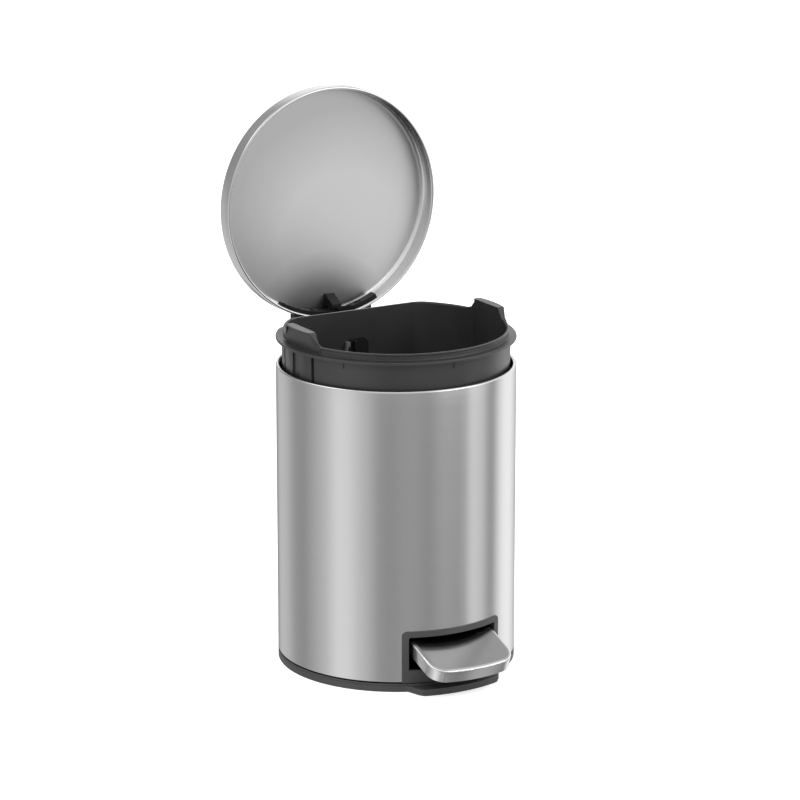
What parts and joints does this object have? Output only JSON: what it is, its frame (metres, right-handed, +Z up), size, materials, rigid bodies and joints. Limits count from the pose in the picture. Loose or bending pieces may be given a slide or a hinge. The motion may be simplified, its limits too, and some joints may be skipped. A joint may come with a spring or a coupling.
{
  "type": "step trash can",
  "caption": "Round steel step bin with a pedal, a lever and push rod that open its hinged lid, and a lift-out plastic bucket with raised handles.",
  "frame": {"origin": "centre of the base's flat underside, on the floor", "axes": "+Z up along the body's axis, -Y to the front where the pedal is, +X to the right seen from the front"},
  "size_m": [0.205, 0.2675, 0.4814],
  "materials": {
    "brushed_steel": "brushed",
    "hardware_steel": "zinc plated",
    "base_plastic": "moulded, fine satin",
    "bucket_plastic": "moulded, fine satin",
    "black_plastic": "moulded, satin",
    "nylon": "natural nylon",
    "foot_rubber": "matt"
  },
  "bodies": {
    "body": {"outer_shell": "brushed_steel", "base": "base_plastic", "foot_ring": "foot_rubber", "pedal_frame": "base_plastic", "axle_brackets": "black_plastic", "pedal_axle": "hardware_steel", "axle_clips": "hardware_steel", "rear_channel": "black_plastic", "segment_cover": "black_plastic", "rod_guide": "nylon", "damper_cylinder": "black_plastic", "hinge_block": "black_plastic", "hinge_pin": "hardware_steel", "hinge_screws": "hardware_steel", "base_screws": "hardware_steel", "return_spring": "hardware_steel"},
    "lid": {"lid_shell": "brushed_steel", "lid_bracket": "black_plastic", "lid_liner": "black_plastic", "lid_lever": "black_plastic", "lid_screws": "hardware_steel"},
    "pedal": {"pedal_plate": "brushed_steel", "pedal_core": "black_plastic", "lever_arm": "hardware_steel", "lever_rivets": "hardware_steel", "lever_bushes": "nylon", "lever_pad": "black_plastic"},
    "rod": {"push_rod": "hardware_steel", "rod_head": "black_plastic", "rod_foot": "black_plastic", "spring_collar": "black_plastic", "damper_piston": "hardware_steel"},
    "bucket": {"bucket": "bucket_plastic", "bag_clip": "black_plastic"}
  },
  "joints": [
    {"name": "lid_hinge", "type": "hinge", "parent": "body", "child": "lid", "pos_m": [0, 0.11175, 0.2671], "axis": [1, 0, 0], "range_deg": [0, 90]},
    {"name": "pedal_press", "type": "hinge", "parent": "body", "child": "pedal", "pos_m": [0, -0.074, 0.024], "axis": [1, 0, 0], "range_deg": [-8, 0]},
    {"name": "rod_lift", "type": "slide", "parent": "body", "child": "rod", "axis": [0, 0, 1], "range_m": [-0.02302, 0], "deforming": ["return_spring"]},
    {"name": "bucket_seat", "type": "slide", "parent": "body", "child": "bucket", "axis": [0, 0, 1], "range_m": [-0.0215, 0]}
  ],
  "couplings": [
    {"joint": "pedal_press", "follows": "lid_hinge", "ratio": -0.08888},
    {"joint": "rod_lift", "follows": "lid_hinge", "m_per_rad": -0.01465},
    {"joint": "bucket_seat", "follows": "lid_hinge", "m_per_rad": -0.013685}
  ]
}
